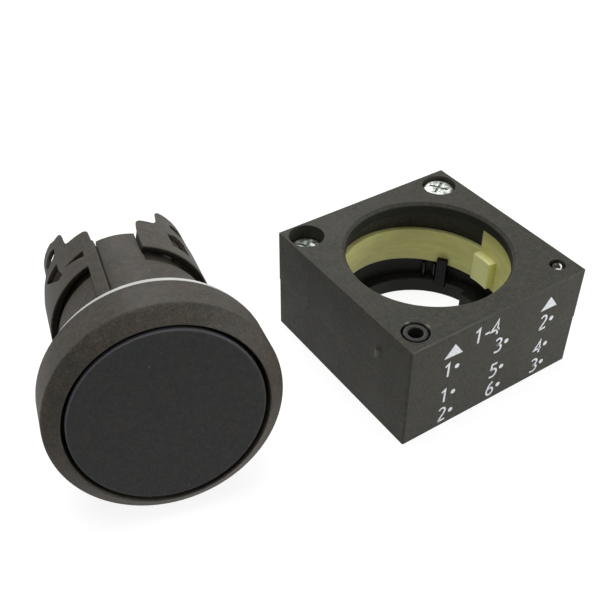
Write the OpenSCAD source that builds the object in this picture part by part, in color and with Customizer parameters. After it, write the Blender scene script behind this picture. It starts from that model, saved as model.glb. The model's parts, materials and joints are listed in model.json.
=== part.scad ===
// Panel pushbutton, taken apart: the push head lies on its side beside its square rear holder.
// The holder stands on z = 0 with its bore on the Z axis. The head is drawn upright in its own
// frame, front plane at z = 0 and everything behind it at negative z, and then laid down.

/* [Holder] */
// Side of the square holder
holder_side = 30.1; // [29:0.1:44]
// Height of the holder
holder_height = 16.6; // [14:0.1:24]
// Height of the joint between the front and rear shells
part_line = 8.3; // [7.4:0.1:10]
// How far the rear shell's sides stand back from the front shell's
rear_inset = 0.05; // [0:0.05:0.4]
// Radius of the shells' upright corners
corner_r = 0.3; // [0.3:0.1:2]
// Bevel along the front's outer edges
edge_bevel = 0.15; // [0.1:0.05:0.6]
// Bevel along the base's outer edges
base_bevel = 0.05; // [0.05:0.05:0.4]
// Radius of the bore that takes the head
bore_r = 11.5; // [9.5:0.1:12]
// Bevel round the mouth of the bore
bore_bevel = 0.5; // [0.2:0.1:0.9]
// Thickness of the front plate over the lock ring
plate_t = 1.8; // [1.2:0.1:2.4]
// Height of the ledge under the lock ring
ledge_h = 2.4; // [1.6:0.1:3]
// How much wider the lock ring's room is than the bore
room_step = 1.4; // [1.2:0.1:1.5]
// Radius inside the two keys of the rear shell
key_r = 10.35; // [9:0.05:10.6]
// Half the angle that one key covers
key_half_angle = 13; // [6:1:14]

/* [Lock ring] */
// How much wider the lock ring's own bore is than the holder's
ring_step = 0.5; // [0.3:0.1:0.6]
// Running clearance round the lock ring
ring_gap = 0.1; // [0.05:0.01:0.1]
// Height of the underside at the lugs
ring_foot = 5.3; // [5:0.1:6]
// Height of the ramp at its low end
ramp_low = 10.9; // [10:0.1:11.5]
// Height of the ramp at its high end
ramp_high = 12.2; // [11.6:0.1:13]
// Height of the land beside the step
land_h = 14.5; // [13.4:0.1:14.5]
// Rise of the underside along the ramp
foot_rise = 1.8; // [0.4:0.1:2]
// Width of the flange that is caught between the shells
flange_w = 0.6; // [0.4:0.05:0.7]
// Thickness of that flange
flange_t = 1.2; // [0.8:0.1:1.4]
// Depth of the two inward lugs
lug_depth = 1.3; // [0.8:0.1:1.5]
// Height of a lug
lug_h = 4.5; // [3:0.1:4.8]

/* [Corner hardware] */
// Distance from the holder's side to the corner holes
corner_inset = 2.9; // [2.8:0.1:3.4]
// Distance from the holder's side to the far shell screw
far_inset = 3.2; // [2.8:0.1:3.4]
// Radius of a shell screw's head
screw_head_r = 2.35; // [1.8:0.05:2.4]
// Height of a shell screw's head
screw_head_h = 1.5; // [1:0.1:2]
// Radius of a shell screw's shank
screw_r = 1.2; // [0.9:0.1:1.3]
// Depth of the far shell screw's head below the front
far_sink = 0.4; // [0:0.1:3]
// Depth of the left shell screw's head below the front
left_sink = 1.8; // [0:0.1:3]
// Outer radius of the threaded inserts
insert_r = 1.9; // [1.7:0.1:2.1]
// Outer radius of the hollow locating bush
bush_r = 1.7; // [1.4:0.1:1.9]
// Bore radius of the hollow locating bush
bush_bore_r = 0.95; // [0.6:0.05:1.1]
// Radius of the clamp screw
clamp_r = 0.95; // [0.8:0.05:1]
// Distance of the clamp screw from the holder's right side
clamp_inset = 2.5; // [2.5:0.1:3.2]
// Side of the clamp screw's square nut
nut_side = 3.6; // [3:0.1:3.7]
// Thickness of that nut
nut_t = 1.8; // [1.2:0.1:2.4]

/* [Head front] */
// Radius of the front bezel
bezel_r = 14.25; // [13.8:0.05:18]
// Depth of the front bezel
bezel_depth = 6.8; // [6.2:0.1:9]
// Fall of the bezel's sloping front
bezel_slope = 1.55; // [0.8:0.05:2]
// Rounding of the bezel's front outer edge
bezel_round = 0.5; // [0.2:0.1:0.8]
// Radius of the button
button_r = 11.7; // [10.5:0.1:11.9]
// Gap between the button and the bezel
button_gap = 0.5; // [0.2:0.05:0.6]
// How far the button stands proud of the bezel
button_proud = 0; // [0:0.1:1]
// Rounding of the button's edge
button_round = 0.35; // [0.2:0.05:0.6]
// Thickness of the button's face
button_t = 1.5; // [1:0.1:2]
// Travel of the button
travel = 3.8; // [1:0.1:3.8]
// Thickness of the flange inside the bezel
bezel_floor_t = 1.2; // [0.8:0.1:1.4]
// Thickness of the panel gasket
gasket_t = 1.3; // [0.5:0.1:1.6]
// How much smaller the gasket's radius is than the bezel's
gasket_step = 0.3; // [0.1:0.1:0.8]

/* [Head barrel] */
// Radius of the panel hole that the neck fits
panel_hole_r = 11.15; // [10.6:0.05:11.6]
// Depth of the neck behind the gasket
neck_t = 3.7; // [2:0.1:5]
// Play between the latch wings and the holder's bore
wing_play = 0.55; // [0.2:0.05:0.6]
// Thickness of the latch wings
wing_t = 1.05; // [0.8:0.05:1.2]
// Thickness of the wings' teeth
tooth_t = 0.6; // [0.5:0.05:0.8]
// How far the wings stand proud of the barrel
wing_proud = 0.8; // [0.5:0.05:0.9]
// Undercut of the wings' front edges
wing_undercut = 1; // [0:0.1:1.4]
// Open space between the wings and the barrel's core
core_gap = 0.5; // [0.4:0.1:1.4]
// Wall of the barrel's core
core_wall = 1.1; // [0.8:0.1:1.3]
// Distance from the front plane to the barrel's rear rim
barrel_end = 28.2; // [27:0.1:34]
// Half the angle of the slot between the wings
slot_half = 15.5; // [15:0.5:17]

/* [Head inside] */
// Running clearance of the sliding parts
slide_gap = 0.1; // [0.05:0.01:0.1]
// Wall of the button's guide sleeve
sleeve_wall = 1.3; // [1:0.1:1.4]
// Distance from the front plane to the end of the sleeve
sleeve_end = 12; // [10:0.5:13]
// Distance from the front plane to the spring's seat
seat_depth = 18.6; // [17:0.2:19]
// Thickness of the web that carries the spring
web_t = 1.5; // [1:0.1:2]
// Thickness of the spring wire
wire = 0.8; // [0.5:0.05:0.9]
// Play between the spring and the sleeve round it
spring_play = 1.1; // [0.9:0.1:1.3]
// Play between the spring and the button's boss inside it
boss_play = 0.7; // [0.7:0.1:1.3]
// Wall of that boss, round the plunger's stem
boss_wall = 1.05; // [0.8:0.05:1.2]
// Turns of the spring
spring_turns = 8; // [6:1:9]

/* [Where the head lies] */
// Place of the head's front plane along X
head_x = -43.8; // [-60:0.05:-40]
// Place of the head's front plane along Y
head_y = -6.75; // [-20:0.05:10]
// Turn of the head on the floor
head_turn = -14.35; // [-45:0.05:45]
// Roll of the head about its own axis
head_roll = 1; // [-2:0.5:2]

/* [Hidden] */
$fn = 72;
// Overlap that keeps cutters clear of the faces they cut
eps = 0.01;
// Clearance between two pieces that seat on each other
seat_gap = 0.05;

// Holder
room_r = bore_r + room_step;
groove_r = room_r + flange_w;
groove_half = flange_t / 2 + ring_gap;
corner_c = holder_side / 2 - corner_inset;
clamp_x = holder_side / 2 - clamp_inset;
rear_half = holder_side / 2 - rear_inset;
far_place = [holder_side / 2 - far_inset, holder_side / 2 - far_inset];
left_place = [-corner_c, corner_c];
bush_place = [-corner_c, -corner_c];
clamp_place = [clamp_x, -corner_c];
key_angles = [1, 181];
shank_hole_r = screw_r + 0.2;
head_hole_r = screw_head_r + 0.2;
screw_foot = 2;
insert_low = 1.5;
insert_h = 5;
bush_groove_r = bush_r + 0.35;
bush_groove_depth = 1.2;
bush_mouth = 0.2;
bush_depth = 6.5;
clamp_hole_r = clamp_r + 0.2;
clamp_head_r = clamp_r * 2;
clamp_head_h = 1.3;
clamp_head_low = 0.5;
clamp_tip_sink = 0.15;
clamp_point = 0.35;
clamp_cup_r = clamp_r - 0.5;
clamp_cup_depth = 0.5;
nub_r = 0.55;
nub_place = [-8.6, 11.9];
nub_h = 1.2;
slot_w = 4;
slot_t = 1.2;
slot_depth = 2;
slot_pitch = 7.5;

// Lock ring
ring_bore_r = bore_r + ring_step;
ring_r = room_r - ring_gap;
step_angle = 7;
ramp_angle = 118;
rise_angle = 17;
land_angle = 45;
foot_from = 12;
lug_low = 6.1;
lug_from = -10;
lug_to = 8;
stop_from = 31;
stop_to = 39;
stop_h = 6.7;
stop_sink = 0.8;
stop_side_gap = 0.3;
stop_in_r = bore_r - 0.4;
stop_out_r = ring_bore_r - ring_gap;
pin_angles = [41, 48.5];
pin_r = 0.3;
pin_sink = 0.6;
pin_h = ring_foot - ring_gap * 2;

// Head
bezel_bore_r = button_r + button_gap;
bezel_wall = 0.9;
recess_r = bezel_r - bezel_wall;
recess_depth = bezel_depth - bezel_floor_t;
seal_t = 0.7;
gasket_back = bezel_depth + gasket_t;
neck_r = panel_hole_r - seat_gap;
neck_back = gasket_back + neck_t;
gasket_seat_r = neck_r - 0.2;
gasket_in_r = neck_r + 0.2;
gasket_r = bezel_r - gasket_step;
wing_r = bore_r - wing_play;
wing_in_r = wing_r - wing_t;
barrel_r = wing_r - wing_proud;
core_r = wing_in_r - core_gap;
guide_r = core_r - core_wall;
slope_start = 20.1;
slope_end = slope_start + 1.8;
slit_from = slot_half - 0.8;
leg_front = neck_back + 0.6;
leg_to = 24;
wing_side = 91;
pad_half = 6;
pad_front = slope_end + 1.5;
pad_back = barrel_end - 0.2;

// The corner of the wings that meets the floor, as an angle from the slot's middle and a depth
tail_angle = slot_half + 2.4;
tail_depth = barrel_end + 2.15;
leg_wing_front = slope_end - 0.3;
plain_wing_front = slope_end + 0.7;
wing_back = tail_depth + 6.1;
cut_back = 7;
cut_side = slot_half - 3;
// The teeth thin from here on
thin_from = barrel_end - 0.5;
thin_run = 1;
// What is cut off the rear of the two wing halves, down to their teeth. Each corner is an angle
// from the slot's middle and a depth behind the corner that meets the floor
leg_wing_teeth = [
    [cut_side, -3.2], [slot_half, -3.2], [slot_half + 1, -2.8], [tail_angle - 0.8, -0.25],
    [tail_angle, 0.2], [tail_angle + 1.4, 0.5], [tail_angle + 2.9, 0.65], [33.5, 0.6],
    [35.5, 0.9], [36.5, 1.85], [36.7, 3.3], [37.6, 4.4], [39.4, 4.9], [46, 4.95],
    [46, cut_back], [cut_side, cut_back]
];
plain_wing_teeth = [
    [cut_side, -3.1], [slot_half, -3.1], [slot_half + 0.4, -2.2], [tail_angle - 1, -0.85],
    [tail_angle, 0], [tail_angle + 0.9, 0.25], [tail_angle + 3.2, 0.6], [31, 0.7], [33, 1],
    [34.6, 1.6], [35.9, 3.15], [36.6, 4.1], [37.8, 4.9], [40.2, 5.6], [42.4, 5.9], [46, 6],
    [46, cut_back], [cut_side, cut_back]
];
// The same beside the teeth, where the rear edge steps back to the wing's middle
middle_step = [
    [64.1, 2.8], [64.2, 1], [65.4, 0.55], [69.8, 0.3], [77, -0.65], [80, -0.75],
    [wing_side + 1, -0.75], [wing_side + 1, cut_back], [44.4, cut_back]
];
leg_wing_rear = concat(
    [[44.4, 4.88], [46, 5], [49.5, 5.45], [54, 5.4], [58, 5.15], [62, 4.45], [63.3, 3.8]],
    middle_step
);
plain_wing_rear = concat(
    [[44.4, 5.92], [46, 6.05], [55, 6.05], [60, 5.8], [62.3, 5], [63.6, 3.9]],
    middle_step
);
// The windows: the direction that each is cut along, and its corners
leg_wing_windows = [
    [32, [[24.4, -4.35], [24.8, -5.85], [41.6, -4.55]]],
    [54, [[48, -1.35], [47.4, -3.55], [44.8, -5.45], [50, -5.55], [64.2, -1.85], [65, -1.05],
        [57.5, -1.15]]],
    [54, [[46.8, 3.05], [47, 1.75], [50, 1.1], [60.5, 0.65], [60.8, 2.25], [56.5, 3.25],
        [51.8, 3.45]]]
];
plain_wing_windows = [
    [49, [[40.8, -1.35], [40.8, -5.05], [57.5, -5.05], [57.5, -1.45], [54, -0.45],
        [47.8, -0.65]]],
    [55, [[48.2, 3.25], [49, 2.15], [57.8, 1.55], [61.5, 2.2], [61.5, 3.6], [58.8, 4.05],
        [52.9, 3.95]]]
];

// The head rests on the bezel's rear edge and on one corner of the wings
lay_tilt = atan((bezel_r - wing_r * cos(tail_angle - head_roll)) / (tail_depth - bezel_depth));
head_lift = bezel_r * cos(lay_tilt) + bezel_depth * sin(lay_tilt);

// Inside the head
sleeve_r = guide_r - slide_gap;
sleeve_in_r = sleeve_r - sleeve_wall;
spring_r = sleeve_in_r - spring_play - wire / 2;
boss_r = spring_r - wire / 2 - boss_play;
stem_r = boss_r - boss_wall - seat_gap;
boss_end = 6.5;
skirt_end = 1.7;
skirt_in_r = button_r - 1.1;
ring_seal_r = 0.45;
ring_seal_mid_r = guide_r - ring_seal_r - seat_gap;
ring_seal_depth = 9.5;
stem_front = 2;
pusher_front = seat_depth + web_t + 0.2;
pusher_t = 1.7;
pusher_r = guide_r - 0.4;
pusher_arm = 5;
pusher_ring_r = 5.2;
pusher_ring_in_r = 3.8;
pusher_end = barrel_end - 2.2;
spring_front = button_t - button_proud + seat_gap;
spring_back = seat_depth - seat_gap;
spring_steps = 20;
wire_sides = 8;

case_colour = [0.33, 0.32, 0.3];
button_colour = [0.2, 0.2, 0.21];
ring_colour = [0.62, 0.64, 0.4];
steel_colour = [0.75, 0.76, 0.77];
brass_colour = [0.75, 0.62, 0.3];
gasket_colour = [0.84, 0.84, 0.8];
rubber_colour = [0.1, 0.1, 0.1];

// A square with round corners
module rounded_square(half, r) {
    square([2 * half, 2 * (half - r)], center = true);
    square([2 * (half - r), 2 * half], center = true);
    for (x = [-1, 1], y = [-1, 1])
        translate([x * (half - r), y * (half - r)]) circle(r);
}

// Cutters that bevel the four edges round a square face at height z, facing up or down
module square_bevels(half, z, size, up) {
    for (a = [0:90:270])
        rotate([0, 0, a]) translate([0, half, z]) mirror([0, 0, up ? 0 : 1])
            rotate([90, 0, 90]) linear_extrude(holder_side * 2, center = true)
                polygon([[-size, eps], [eps, -size], [eps, eps]]);
}

// A ring between two radii and two heights
module tube(outer, inner, low, high) {
    difference() {
        translate([0, 0, low]) cylinder(h = high - low, r = outer);
        translate([0, 0, low - 1]) cylinder(h = high - low + 2, r = inner);
    }
}

// Part of such a ring, from one angle to another
module sector(outer, inner, low, high, from, to) {
    rotate([0, 0, from]) rotate_extrude(angle = to - from)
        translate([inner, low]) square([outer - inner, high - low]);
}

// A half space above a plane that climbs along the circle about the angle given
module sloping_half_space(angle, z, slope) {
    rotate([0, 0, angle]) translate([0, 0, z]) rotate([slope, 0, 0])
        translate([-holder_side, -holder_side, 0])
            cube([2 * holder_side, 2 * holder_side, holder_height]);
}

function arc(centre, r, from, to, steps) = [
    for (i = [0:steps])
        let (a = from + (to - from) * i / steps)
            centre + r * [cos(a), sin(a)]
];

// Puts the head down on the floor beside the holder
module laid_down() {
    translate([head_x, head_y, head_lift]) rotate([90 - lay_tilt, 0, head_turn])
        rotate([0, 0, head_roll]) children();
}

module corner_holes_front() {
    for (s = [[far_place, far_sink], [left_place, left_sink]])
        translate([s[0].x, s[0].y, 0]) {
            translate([0, 0, part_line - 1]) cylinder(h = holder_height, r = shank_hole_r);
            translate([0, 0, holder_height - s[1] - screw_head_h])
                cylinder(h = holder_height, r = head_hole_r);
        }
    translate([bush_place.x, bush_place.y, holder_height]) {
        translate([0, 0, -bush_depth]) cylinder(h = bush_depth + 1, r = bush_r + seat_gap);
        translate([0, 0, -bush_groove_depth]) cylinder(h = bush_groove_depth + 1, r = bush_groove_r);
        translate([0, 0, -bush_mouth])
            cylinder(h = bush_mouth + eps, r1 = bush_groove_r, r2 = bush_groove_r + bush_mouth + eps);
    }
    translate([clamp_place.x, clamp_place.y, part_line - 1])
        cylinder(h = holder_height, r = clamp_hole_r);
}

module holder_front_shell() {
    color(case_colour) {
        difference() {
            translate([0, 0, part_line]) linear_extrude(holder_height - part_line)
                rounded_square(holder_side / 2, corner_r);
            square_bevels(holder_side / 2, holder_height, edge_bevel, true);
            translate([0, 0, part_line - 1])
                cylinder(h = holder_height - plate_t - part_line + 1, r = room_r);
            translate([0, 0, part_line - 1]) cylinder(h = 1 + groove_half, r = groove_r);
            translate([0, 0, part_line]) cylinder(h = holder_height, r = bore_r);
            translate([0, 0, holder_height - bore_bevel])
                cylinder(h = bore_bevel + eps, r1 = bore_r, r2 = bore_r + bore_bevel + eps);
            corner_holes_front();
        }
        side_nub();
    }
}

// The small rounded nub on the left side
module side_nub() {
    translate([-holder_side / 2 + nub_r - 0.35, nub_place.x, nub_place.y]) {
        cylinder(h = nub_h, r = nub_r, center = true);
        for (z = [-1, 1]) translate([0, 0, z * nub_h / 2]) sphere(nub_r);
    }
}

module contact_slots() {
    for (side = [-1, 1], i = [-1:1])
        translate([i * slot_pitch, side * (rear_half - 1.6), slot_depth / 2 - 1])
            cube([slot_w, slot_t, slot_depth + 2], center = true);
}

module corner_holes_rear() {
    for (p = [far_place, left_place])
        translate([p.x, p.y, insert_low]) cylinder(h = part_line, r = insert_r + seat_gap);
    translate([clamp_place.x, clamp_place.y, 0]) {
        translate([0, 0, -1]) cylinder(h = part_line + 2, r = clamp_hole_r);
        translate([0, 0, -1])
            cylinder(h = clamp_head_low + clamp_head_h + 1, r = clamp_head_r + 0.3);
        translate([0, 0, part_line - nut_t / 2 - seat_gap])
            cube([nut_side + 0.2, nut_side + 0.2, nut_t + 2 * seat_gap + eps], center = true);
    }
}

module holder_rear_shell() {
    color(case_colour) {
        difference() {
            linear_extrude(part_line) rounded_square(rear_half, corner_r);
            square_bevels(rear_half, 0, base_bevel, false);
            translate([0, 0, -1]) cylinder(h = holder_height, r = bore_r);
            translate([0, 0, ledge_h]) cylinder(h = holder_height, r = room_r);
            translate([0, 0, part_line - groove_half]) cylinder(h = holder_height, r = groove_r);
            corner_holes_rear();
            contact_slots();
            for (a = pin_angles) detent_pin(a, pin_r, pin_sink);
            sector(stop_out_r + seat_gap, stop_in_r - 1, ledge_h - stop_sink, ledge_h + 1,
                stop_from - stop_side_gap, stop_to + stop_side_gap);
        }
        for (a = key_angles)
            sector(bore_r + 0.3, key_r, 0, ledge_h, a - key_half_angle, a + key_half_angle);
    }
}

// What is cut off half of the lock ring's wall. Above, a gentle ramp and a steep rise to the land,
// which ends in a step; below, an underside that climbs beside the ramp
module ring_half_cuts() {
    ramp_end = step_angle + ramp_angle;
    ramp_middle = step_angle + ramp_angle / 2;
    ramp_run = 2 * ring_r * sin(ramp_angle / 2);
    rise_run = 2 * ring_r * sin(rise_angle / 2);
    foot_run = ring_r * (sin(ramp_angle / 2) + sin(ramp_angle / 2 - foot_from));
    foot_slope = foot_rise / foot_run;
    foot_middle = ring_foot + foot_slope * ring_r * sin(ramp_angle / 2 - foot_from);
    intersection() {
        sector(ring_r + 1, ring_bore_r - 1, ring_foot, land_h + 1, step_angle,
            ramp_end + rise_angle + land_angle / 2);
        sloping_half_space(ramp_middle, (ramp_low + ramp_high) / 2,
            atan((ramp_high - ramp_low) / ramp_run));
        sloping_half_space(ramp_end + rise_angle / 2, (ramp_high + land_h) / 2,
            atan((land_h - ramp_high) / rise_run));
    }
    intersection() {
        sector(ring_r + 1, ring_bore_r - 1, ring_foot - 1, part_line, step_angle + 1, ramp_end);
        mirror([0, 0, 1]) sloping_half_space(ramp_middle, -foot_middle, -atan(foot_slope));
    }
}

module lock_ring() {
    color(ring_colour) {
        difference() {
            tube(ring_r, ring_bore_r, ring_foot, land_h);
            for (a = [0, 180]) rotate([0, 0, a]) ring_half_cuts();
        }
        tube(groove_r - ring_gap, ring_bore_r + 0.2, part_line - flange_t / 2, part_line + flange_t / 2);
        for (a = [0, 180])
            sector(ring_r - 0.1, ring_bore_r - lug_depth, lug_low, lug_low + lug_h,
                a + lug_from, a + lug_to);
    }
}

module stop_block() {
    color(rubber_colour)
        sector(stop_out_r, stop_in_r, ledge_h - stop_sink + seat_gap, stop_h, stop_from, stop_to);
}

module detent_pin(angle, r, sink) {
    rotate([0, 0, angle]) translate([(room_r + ring_bore_r) / 2 - 0.05, 0, ledge_h - sink])
        cylinder(h = pin_h - ledge_h + sink, r = r, $fn = 24);
}

module detent_pins() {
    color(steel_colour)
        for (a = pin_angles) detent_pin(a, pin_r - 0.02, pin_sink - seat_gap);
}

// A pan-head screw with a cross recess, its head's underside at z = 0
module pan_screw(length) {
    dome = 0.55;
    difference() {
        union() {
            rotate_extrude() polygon([
                [0, 0], [screw_head_r, 0], [screw_head_r, screw_head_h - dome],
                [screw_head_r * 0.93, screw_head_h - dome / 2],
                [screw_head_r * 0.78, screw_head_h - 0.1],
                [screw_head_r * 0.5, screw_head_h], [0, screw_head_h]
            ]);
            translate([0, 0, -length]) cylinder(h = length + eps, r = screw_r, $fn = 36);
        }
        for (a = [0, 90])
            rotate([0, 0, a + 30]) translate([0, 0, screw_head_h])
                cube([screw_head_r * 1.25, 0.45, 1.6], center = true);
    }
}

module shell_screw(place, sink) {
    low = holder_height - sink - screw_head_h;
    color(steel_colour) translate([place.x, place.y, low]) pan_screw(low - screw_foot);
}

module screw_inserts() {
    color(brass_colour)
        for (p = [far_place, left_place])
            translate([p.x, p.y, 0])
                tube(insert_r, screw_r + seat_gap, insert_low, insert_low + insert_h);
}

module clamp_screw() {
    tip = holder_height - clamp_tip_sink;
    color(steel_colour) translate([clamp_place.x, clamp_place.y, 0]) {
        rotate_extrude() polygon([
            [0, clamp_head_low + 0.6], [clamp_r, clamp_head_low + 0.6], [clamp_r, tip - clamp_point],
            [clamp_r - clamp_point, tip], [clamp_cup_r, tip],
            [clamp_cup_r / 4, tip - clamp_cup_depth], [0, tip - clamp_cup_depth]
        ]);
        difference() {
            translate([0, 0, clamp_head_low]) cylinder(h = clamp_head_h - seat_gap, r = clamp_head_r);
            translate([0, 0, clamp_head_low])
                cube([clamp_head_r * 3, 0.5, 1], center = true);
        }
    }
}

module clamp_nut() {
    color(steel_colour) translate([clamp_place.x, clamp_place.y, part_line - nut_t / 2 - seat_gap])
        difference() {
            cube([nut_side, nut_side, nut_t], center = true);
            cylinder(h = nut_t + 1, r = clamp_r + seat_gap, center = true);
        }
}

module locating_bush() {
    color(case_colour) translate([bush_place.x, bush_place.y, 0])
        tube(bush_r, bush_bore_r, holder_height - bush_depth, holder_height);
}

module front_bezel() {
    slope_angle = atan(bezel_slope / (bezel_r - bezel_bore_r));
    round_centre = [
        bezel_r - bezel_round,
        -bezel_slope - bezel_round * tan((90 - slope_angle) / 2)
    ];
    color(case_colour) laid_down() rotate_extrude() polygon(concat(
        [[bezel_bore_r, -0.2], [bezel_bore_r + 0.1, -0.06], [bezel_bore_r + 0.25, -0.16]],
        arc(round_centre, bezel_round, 90 - slope_angle, 0, 5),
        [[bezel_r, -bezel_depth], [recess_r, -bezel_depth],
            [recess_r, -recess_depth + seal_t + seat_gap],
            [bezel_bore_r, -recess_depth + seal_t + seat_gap]]
    ));
}

module bezel_seal() {
    color(rubber_colour) laid_down()
        tube(recess_r - seat_gap, bezel_bore_r + 0.1, -recess_depth, -recess_depth + seal_t);
}

module panel_gasket() {
    color(gasket_colour) laid_down()
        tube(gasket_r, gasket_in_r, -gasket_back, -bezel_depth);
}

// The channels that a wing's leg lies in, and the slits beside the wings
module leg_channels() {
    for (a = [0, 180]) rotate([0, 0, 90 + a]) {
        sector(wing_r, wing_in_r - seat_gap, -barrel_end - 1, -neck_back,
            slit_from, leg_to + 0.3);
        sector(wing_r, wing_in_r - seat_gap, -barrel_end - 1, -slope_end,
            -slot_half - 1, -slit_from);
    }
}

module barrel() {
    color(case_colour) laid_down() difference() {
        union() {
            translate([0, 0, -bezel_depth]) cylinder(h = bezel_floor_t, r = recess_r - seat_gap);
            translate([0, 0, -gasket_back]) cylinder(h = gasket_t + eps, r = gasket_seat_r);
            translate([0, 0, -neck_back]) cylinder(h = neck_t, r = neck_r);
            translate([0, 0, -slope_start]) cylinder(h = slope_start - neck_back + eps, r = barrel_r);
            translate([0, 0, -slope_end])
                cylinder(h = slope_end - slope_start, r1 = core_r, r2 = barrel_r);
            translate([0, 0, -barrel_end]) cylinder(h = barrel_end - slope_end, r = core_r);
            for (a = [90, 270])
                sector(barrel_r, core_r - 0.3, -barrel_end, -slope_start + eps,
                    a - slot_half, a + slot_half);
        }
        difference() {
            translate([0, 0, -barrel_end - 1]) cylinder(h = barrel_end + 1, r = guide_r);
            tube(guide_r + 1, stem_r + slide_gap, -seat_depth - web_t, -seat_depth);
        }
        leg_channels();
    }
}

function on_wing(p, mid) = [wing_r * sin(p[0] - mid), -tail_depth - p[1]];

// A prism with its corners on the wing's surface, along one direction
module wing_cut(mid, corners) {
    rotate([0, 0, 90 + mid]) rotate([90, 0, 90]) linear_extrude(wing_r + 1)
        polygon([for (p = corners) on_wing(p, mid)]);
}

// One half of a latch wing. Its undercut front edge starts at the side given, beside its leg
module wing_half(teeth, direction, rear, windows, front, side) {
    difference() {
        rotate([0, 0, 90 + slot_half]) rotate_extrude(angle = wing_side - slot_half) polygon([
            [wing_in_r, -leg_front], [wing_in_r, -thin_from], [wing_r - tooth_t, -thin_from - thin_run],
            [wing_r - tooth_t, -wing_back], [wing_r, -wing_back], [wing_r, -leg_front]
        ]);
        rotate([0, 0, 90 + side]) rotate_extrude(angle = wing_side - side + 5) polygon([
            [wing_in_r - 1, 1 - leg_front], [wing_in_r - 1, -front - wing_undercut * 2],
            [wing_r - 0.2, -front], [wing_r + 1, -front], [wing_r + 1, 1 - leg_front]
        ]);
        wing_cut(direction, teeth);
        wing_cut(66, rear);
        for (w = windows) wing_cut(w[0], w[1]);
    }
}

// A whole wing: the half with a leg above, the plain half below and the pad that seats on the core
module latch_wing() {
    wing_half(leg_wing_teeth, 8, leg_wing_rear, leg_wing_windows, leg_wing_front, leg_to);
    rotate([0, 0, 180]) mirror([1, 0, 0])
        wing_half(plain_wing_teeth, -10, plain_wing_rear, plain_wing_windows, plain_wing_front,
            cut_side);
    sector(wing_in_r + 0.2, core_r + seat_gap, -pad_back, -pad_front, 180 - pad_half, 180 + pad_half);
}

module latch_wing_left() {
    color(case_colour) laid_down() latch_wing();
}

module latch_wing_right() {
    color(case_colour) laid_down() rotate([0, 0, 180]) latch_wing();
}

module button_cap() {
    face = button_proud - button_t;
    color(button_colour) laid_down() {
        rotate_extrude() polygon(concat(
            [[0, face], [0, button_proud]],
            arc([button_r - button_round, button_proud - button_round], button_round, 90, 0, 5),
            [[button_r, -skirt_end], [skirt_in_r, -skirt_end], [skirt_in_r, face]]
        ));
        difference() {
            tube(sleeve_r, sleeve_in_r, -sleeve_end, face + eps);
            rotate_extrude() translate([ring_seal_mid_r, -ring_seal_depth])
                square([3 * ring_seal_r, 2 * (ring_seal_r + seat_gap)], center = true);
            tube(sleeve_r + 1, ring_seal_mid_r - ring_seal_r - seat_gap,
                -ring_seal_depth - ring_seal_r - seat_gap, -ring_seal_depth + ring_seal_r + seat_gap);
        }
        tube(boss_r, stem_r + seat_gap, -boss_end, face + eps);
    }
}

module piston_seal() {
    color(rubber_colour) laid_down()
        rotate_extrude() translate([ring_seal_mid_r, -ring_seal_depth]) circle(ring_seal_r, $fn = 24);
}

module plunger() {
    color(button_colour) laid_down() {
        translate([0, 0, -pusher_front - eps]) cylinder(h = pusher_front - stem_front, r = stem_r);
        translate([0, 0, -pusher_front - pusher_t]) intersection() {
            cylinder(h = pusher_t, r = pusher_r);
            union() {
                cylinder(h = pusher_t, r = pusher_ring_r);
                for (a = [0, 90])
                    rotate([0, 0, a]) translate([0, 0, pusher_t / 2])
                        cube([2 * pusher_r + 1, pusher_arm, pusher_t], center = true);
            }
        }
        tube(pusher_ring_r, pusher_ring_in_r, -pusher_end, -pusher_front - pusher_t + eps);
    }
}

// Height along the spring after a number of turns, with one closed turn at each end
function spring_z(t) =
    let (rise = spring_back - spring_front - wire, open = (rise - 2 * wire) / (spring_turns - 2))
        t < 1 ? wire * t
        : t > spring_turns - 1 ? rise - wire * (spring_turns - t)
        : wire + open * (t - 1);

module return_spring() {
    rings = spring_turns * spring_steps;
    points = [
        for (i = [0:rings], j = [0:wire_sides - 1])
            let (
                turn = i / spring_steps,
                around = 360 * j / wire_sides,
                r = spring_r + wire / 2 * cos(around)
            )
                [r * cos(360 * turn), r * sin(360 * turn),
                    -spring_back + wire / 2 + spring_z(turn) + wire / 2 * sin(around)]
    ];
    sides = [
        for (i = [0:rings - 1], j = [0:wire_sides - 1])
            let (a = i * wire_sides, k = (j + 1) % wire_sides)
                [a + j, a + wire_sides + j, a + wire_sides + k, a + k]
    ];
    ends = [
        [for (j = [0:wire_sides - 1]) j],
        [for (j = [0:wire_sides - 1]) rings * wire_sides + wire_sides - 1 - j]
    ];
    color(steel_colour) laid_down() polyhedron(points, concat(sides, ends), convexity = 10);
}

holder_front_shell();
holder_rear_shell();
lock_ring();
stop_block();
detent_pins();
shell_screw(far_place, far_sink);  // shell_screw_far
shell_screw(left_place, left_sink);  // shell_screw_left
screw_inserts();
clamp_screw();
clamp_nut();
locating_bush();
front_bezel();
bezel_seal();
panel_gasket();
barrel();
latch_wing_left();
latch_wing_right();
button_cap();
piston_seal();
plunger();
return_spring();
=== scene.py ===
"""Looks of a taken-apart panel pushbutton: its push head on its side and its square rear holder.

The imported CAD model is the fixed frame. Sizes are in millimetres, where a comment says nothing
else, and MM makes metres of them.
"""

import json
import math

import bmesh
import bpy
from mathutils import Euler, Matrix, Vector


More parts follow.
